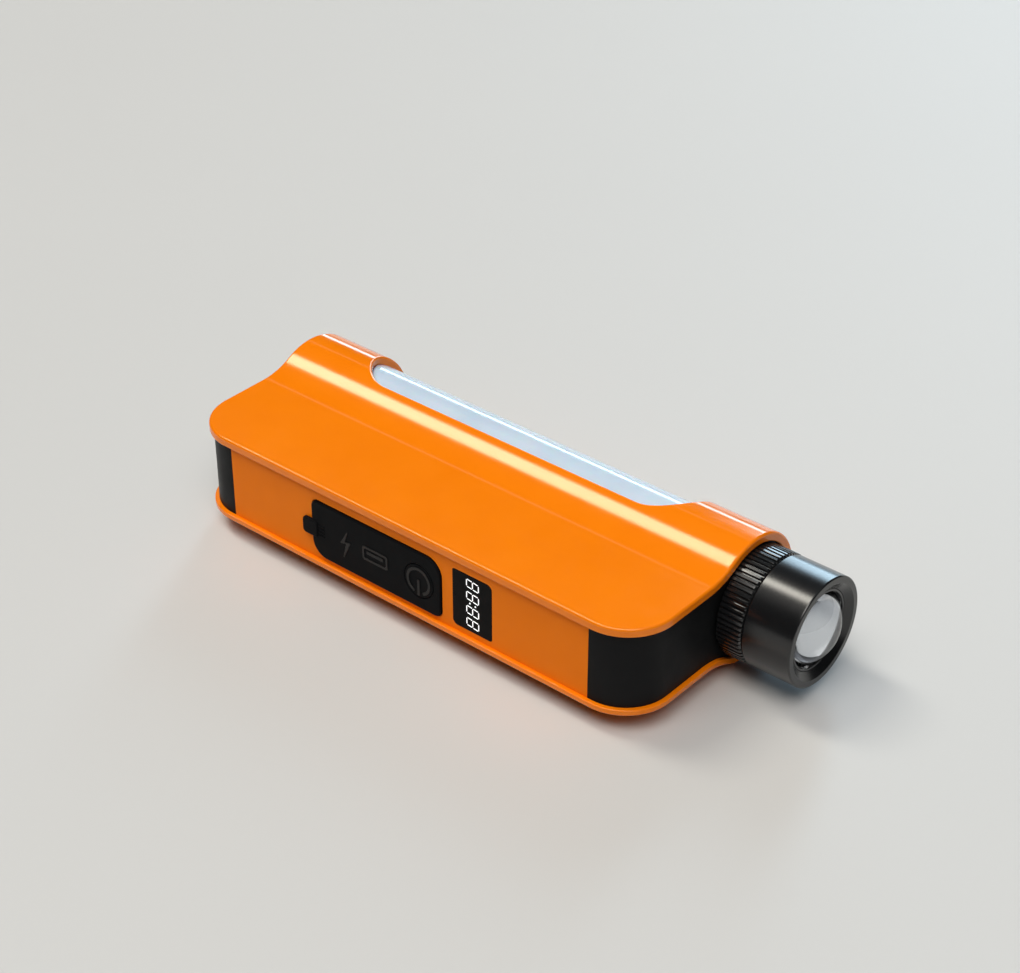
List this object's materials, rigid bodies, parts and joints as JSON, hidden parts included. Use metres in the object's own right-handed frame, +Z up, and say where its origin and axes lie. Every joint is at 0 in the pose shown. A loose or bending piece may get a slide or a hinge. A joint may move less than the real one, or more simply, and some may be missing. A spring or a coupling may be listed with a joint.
{
  "type": "emergency radio",
  "caption": "Pocket emergency radio with S-curved covers, a zoom torch and a loudspeaker in its rear barrel, a reading light, a port flap, a display and a pull-out antenna.",
  "frame": {"origin": "middle of the resting plane, under the middle of the overall box, antenna stowed and torch head closed", "axes": "+X along the body towards the torch, +Y away from the display side, +Z up"},
  "size_m": [0.2124, 0.0767, 0.0431],
  "materials": {
    "orange_gloss": "glossy orange ABS",
    "black_satin": "satin black plastic",
    "soft_rubber": "matte black silicone",
    "foot_rubber": "matte black rubber",
    "anodised_black": "satin black anodised aluminium",
    "diffuser_white": "translucent white diffuser",
    "display_black": "black smoked window",
    "lens_clear": "clear polished lens",
    "mirror_chrome": "bright reflector",
    "bare_aluminium": "machined aluminium",
    "plated_steel": "nickel plated steel",
    "circuit_board": "green solder mask",
    "component_black": "moulded component",
    "phosphor": "lamp phosphor",
    "cell_wrap": "shrink wrapped cell",
    "ferrite_dark": "sintered ferrite",
    "copper_wire": "enamelled copper winding",
    "speaker_paper": "coated paper cone",
    "foam_black": "closed cell foam"
  },
  "bodies": {
    "housing": {"top_cover": "orange_gloss", "bottom_cover": "orange_gloss", "front_panel": "orange_gloss", "rear_panel": "orange_gloss", "left_end_cap": "black_satin", "right_end_cap": "black_satin", "housing_screws": "plated_steel", "button_board": "circuit_board", "button_switches": "component_black", "light_diffuser": "diffuser_white", "light_board": "circuit_board", "light_lamps": "phosphor", "key_surround": "soft_rubber", "power_switch": "component_black", "main_board": "circuit_board", "board_chips": "component_black", "usb_a_socket": "plated_steel", "usb_c_socket": "plated_steel", "display_window": "display_black", "display_module": "component_black", "left_cell": "cell_wrap", "right_cell": "cell_wrap", "battery_tray": "black_satin", "battery_contacts": "plated_steel", "tuner_board": "circuit_board", "tuner_chip": "component_black", "ferrite_rod": "ferrite_dark", "ferrite_winding": "copper_wire", "antenna_sleeve": "black_satin", "speaker_gasket": "foam_black", "speaker_basket": "plated_steel", "speaker_cone": "speaker_paper", "speaker_magnet": "ferrite_dark", "torch_tube": "anodised_black", "heat_sink": "bare_aluminium", "lamp_star": "bare_aluminium", "lamp_dome": "phosphor", "reflector": "mirror_chrome", "front_foot_left": "foot_rubber", "front_foot_right": "foot_rubber", "rear_foot_left": "foot_rubber", "rear_foot_right": "foot_rubber"},
    "port_flap": {"port_flap": "soft_rubber"},
    "power_key": {"power_key": "soft_rubber"},
    "tune_down_button": {"tune_down_button": "soft_rubber"},
    "tune_up_button": {"tune_up_button": "soft_rubber"},
    "mode_button": {"mode_button": "soft_rubber"},
    "antenna_outer": {"antenna_outer_tube": "mirror_chrome"},
    "antenna_inner": {"antenna_inner_rod": "mirror_chrome"},
    "focus_ring": {"focus_ring": "anodised_black"},
    "torch_head": {"torch_bezel": "anodised_black", "lens_seal": "foam_black", "torch_lens": "lens_clear", "lens_retainer": "anodised_black"}
  },
  "joints": [
    {"name": "flap_hinge", "type": "hinge", "parent": "housing", "child": "port_flap", "pos_m": [-0.01145, -0.03775, 0.02035], "axis": [0, 0, 1], "range_deg": [0, 110]},
    {"name": "power_key_press", "type": "slide", "parent": "housing", "child": "power_key", "axis": [0, 1, 0], "range_m": [0, 0.0006], "stiffness_N_per_m": 1200},
    {"name": "tune_down_button_press", "type": "slide", "parent": "housing", "child": "tune_down_button", "axis": [0, -1, 0], "range_m": [0, 0.0007], "stiffness_N_per_m": 900},
    {"name": "tune_up_button_press", "type": "slide", "parent": "housing", "child": "tune_up_button", "axis": [0, -1, 0], "range_m": [0, 0.0007], "stiffness_N_per_m": 900},
    {"name": "mode_button_press", "type": "slide", "parent": "housing", "child": "mode_button", "axis": [0, -1, 0], "range_m": [0, 0.0007], "stiffness_N_per_m": 900},
    {"name": "antenna_outer_pull", "type": "slide", "parent": "housing", "child": "antenna_outer", "axis": [-1, 0, 0], "range_m": [0, 0.095]},
    {"name": "antenna_inner_pull", "type": "slide", "parent": "antenna_outer", "child": "antenna_inner", "axis": [-1, 0, 0], "range_m": [0, 0.095]},
    {"name": "focus_ring_turn", "type": "hinge", "parent": "housing", "child": "focus_ring", "pos_m": [0.0763, 0.0172, 0.02195], "axis": [1, 0, 0], "range_deg": [0, 120]},
    {"name": "torch_head_zoom", "type": "slide", "parent": "housing", "child": "torch_head", "axis": [1, 0, 0], "range_m": [0, 0.0045]}
  ],
  "couplings": [
    {"joint": "torch_head_zoom", "follows": "focus_ring_turn", "m_per_rad": 0.0021485}
  ]
}
